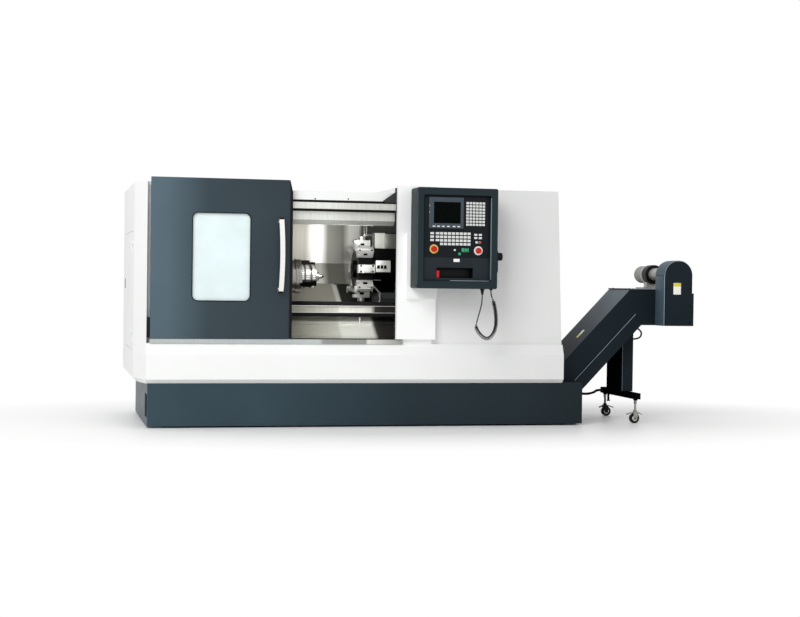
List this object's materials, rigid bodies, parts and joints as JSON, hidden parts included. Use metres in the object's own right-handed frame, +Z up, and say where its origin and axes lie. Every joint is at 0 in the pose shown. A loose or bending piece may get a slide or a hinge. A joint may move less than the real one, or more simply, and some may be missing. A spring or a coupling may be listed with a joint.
{
  "type": "cnc turning lathe",
  "caption": "Slant-bed turning lathe with a sliding front door, a control box on a column and an inclined chip conveyor on casters.",
  "frame": {"origin": "bottom centre of the whole machine's box, on the floor, measured without the cords and cables", "axes": "+X to the right along the front, from the spindle towards the conveyor's head; +Y from the operator's side to the rear; +Z up"},
  "size_m": [4.1982, 1.893, 1.769],
  "materials": {
    "white_paint": "satin",
    "slate_paint": "satin",
    "dark_paint": "satin",
    "panel_paint": "satin",
    "cast_iron": "painted",
    "ground_steel": "ground",
    "black_steel": "blackened",
    "stainless": "brushed",
    "pane": "frosted",
    "screen": "gloss",
    "panel": "matt",
    "keys": "matt",
    "red": "gloss",
    "green": "gloss",
    "pendant": "matt",
    "black_plastic": "matt",
    "cord": "matt",
    "motor": "satin",
    "caster": "matt"
  },
  "bodies": {
    "machine": {"base_tray": "dark_paint", "levelling_feet": "black_steel", "bed_casting": "cast_iron", "bed_rails": "ground_steel", "headstock": "cast_iron", "way_cover_fixed": "stainless", "back_splash": "stainless", "chip_chute": "stainless", "body_belt": "white_paint", "sill_strip": "stainless", "left_cover": "white_paint", "rear_cover": "white_paint", "door_header": "stainless", "column_cover": "white_paint", "right_cover": "white_paint", "control_housing": "panel_paint", "control_panel": "panel", "screen": "screen", "panel_keys": "keys", "pendant": "pendant", "strain_relief": "black_plastic", "cord_left": "cord", "cord_curly": "cord", "cord_right": "cord", "cable_lower": "cord", "cable_upper": "cord", "conveyor_housing": "dark_paint", "conveyor_belt": "black_steel", "chain_guard": "slate_paint", "gearmotor": "motor", "support_leg": "dark_paint"},
    "door": {"door_panel": "slate_paint", "door_window": "pane", "door_handle": "ground_steel"},
    "side_door": {"side_door": "white_paint"},
    "spindle": {"spindle": "ground_steel", "chuck_body": "ground_steel", "drive_centre": "ground_steel"},
    "jaw_1": {"jaw_1": "black_steel"},
    "jaw_2": {"jaw_2": "black_steel"},
    "jaw_3": {"jaw_3": "black_steel"},
    "carriage": {"saddle": "cast_iron", "way_cover_moving": "stainless"},
    "z_screw": {"z_screw": "ground_steel"},
    "cross_slide": {"cross_slide": "cast_iron", "turret_housing": "cast_iron"},
    "turret": {"turret_disc": "black_steel", "tool_holders": "ground_steel"},
    "tailstock": {"tailstock_body": "cast_iron"},
    "quill": {"tailstock_quill": "ground_steel"},
    "pendant_dial": {"pendant_dial": "black_plastic"},
    "estop_left": {"estop_left": "red"},
    "estop_right": {"estop_right": "red"},
    "start_button": {"start_button": "green"},
    "hold_button": {"hold_button": "green"},
    "head_shaft": {"head_shaft": "ground_steel"},
    "caster_fork_near": {"caster_fork_near": "ground_steel"},
    "caster_fork_far": {"caster_fork_far": "ground_steel"},
    "caster_wheel_near": {"caster_wheel_near": "caster"},
    "caster_wheel_far": {"caster_wheel_far": "caster"}
  },
  "joints": [
    {"name": "door_slide", "type": "slide", "parent": "machine", "child": "door", "axis": [1, 0, 0], "range_m": [0, 0.76]},
    {"name": "side_door_hinge", "type": "hinge", "parent": "machine", "child": "side_door", "pos_m": [-2.09515, -0.2795, 1], "axis": [0, 0, 1], "range_deg": [0, 110]},
    {"name": "spindle_spin", "type": "hinge", "parent": "machine", "child": "spindle", "pos_m": [-2.00285, -0.2035, 1.085], "axis": [1, 0, 0], "continuous": true},
    {"name": "jaw_1_slide", "type": "slide", "parent": "spindle", "child": "jaw_1", "axis": [0, 0, 1], "range_m": [0, 0.008]},
    {"name": "jaw_2_slide", "type": "slide", "parent": "spindle", "child": "jaw_2", "axis": [0, -0.866, -0.5], "range_m": [0, 0.008]},
    {"name": "jaw_3_slide", "type": "slide", "parent": "spindle", "child": "jaw_3", "axis": [0, 0.866, -0.5], "range_m": [0, 0.008]},
    {"name": "carriage_slide", "type": "slide", "parent": "machine", "child": "carriage", "axis": [1, 0, 0], "range_m": [-0.18, 0.24]},
    {"name": "screw_spin", "type": "hinge", "parent": "machine", "child": "z_screw", "pos_m": [-0.00285, 0.27031, 0.86434], "axis": [1, 0, 0], "range_deg": [-3260, 4340]},
    {"name": "cross_slide_travel", "type": "slide", "parent": "carriage", "child": "cross_slide", "axis": [0, 0.866, 0.5], "range_m": [-0.13, 0.03]},
    {"name": "turret_index", "type": "hinge", "parent": "cross_slide", "child": "turret", "pos_m": [-0.36285, 0.15864, 1.14975], "axis": [1, 0, 0], "continuous": true},
    {"name": "tailstock_slide", "type": "slide", "parent": "machine", "child": "tailstock", "axis": [1, 0, 0], "range_m": [-0.05, 0.25]},
    {"name": "quill_slide", "type": "slide", "parent": "tailstock", "child": "quill", "axis": [1, 0, 0], "range_m": [-0.08, 0]},
    {"name": "dial_spin", "type": "hinge", "parent": "machine", "child": "pendant_dial", "pos_m": [0.48715, -0.8435, 1.245], "axis": [1, 0, 0], "continuous": true},
    {"name": "estop_left_press", "type": "slide", "parent": "machine", "child": "estop_left", "axis": [0, 1, 0], "range_m": [0, 0.006], "stiffness_N_per_m": 1500},
    {"name": "estop_right_press", "type": "slide", "parent": "machine", "child": "estop_right", "axis": [0, 1, 0], "range_m": [0, 0.006], "stiffness_N_per_m": 1500},
    {"name": "start_press", "type": "slide", "parent": "machine", "child": "start_button", "axis": [0, 1, 0], "range_m": [0, 0.003], "stiffness_N_per_m": 1000},
    {"name": "hold_press", "type": "slide", "parent": "machine", "child": "hold_button", "axis": [0, 1, 0], "range_m": [0, 0.003], "stiffness_N_per_m": 1000},
    {"name": "head_shaft_spin", "type": "hinge", "parent": "machine", "child": "head_shaft", "pos_m": [1.98715, -0.2835, 0.883], "axis": [0, 1, 0], "continuous": true},
    {"name": "caster_swivel_near", "type": "hinge", "parent": "machine", "child": "caster_fork_near", "pos_m": [1.69115, -0.5455, 0.12], "axis": [0, 0, 1], "continuous": true},
    {"name": "caster_roll_near", "type": "hinge", "parent": "caster_fork_near", "child": "caster_wheel_near", "pos_m": [1.68315, -0.5455, 0.038], "axis": [0, 1, 0], "continuous": true},
    {"name": "caster_swivel_far", "type": "hinge", "parent": "machine", "child": "caster_fork_far", "pos_m": [1.69115, 0.1185, 0.12], "axis": [0, 0, 1], "continuous": true},
    {"name": "caster_roll_far", "type": "hinge", "parent": "caster_fork_far", "child": "caster_wheel_far", "pos_m": [1.69915, 0.1185, 0.038], "axis": [0, 1, 0], "continuous": true}
  ],
  "couplings": [
    {"joint": "jaw_2_slide", "follows": "jaw_1_slide", "ratio": 1},
    {"joint": "jaw_3_slide", "follows": "jaw_1_slide", "ratio": 1},
    {"joint": "screw_spin", "follows": "carriage_slide", "rad_per_m": 314.16}
  ]
}
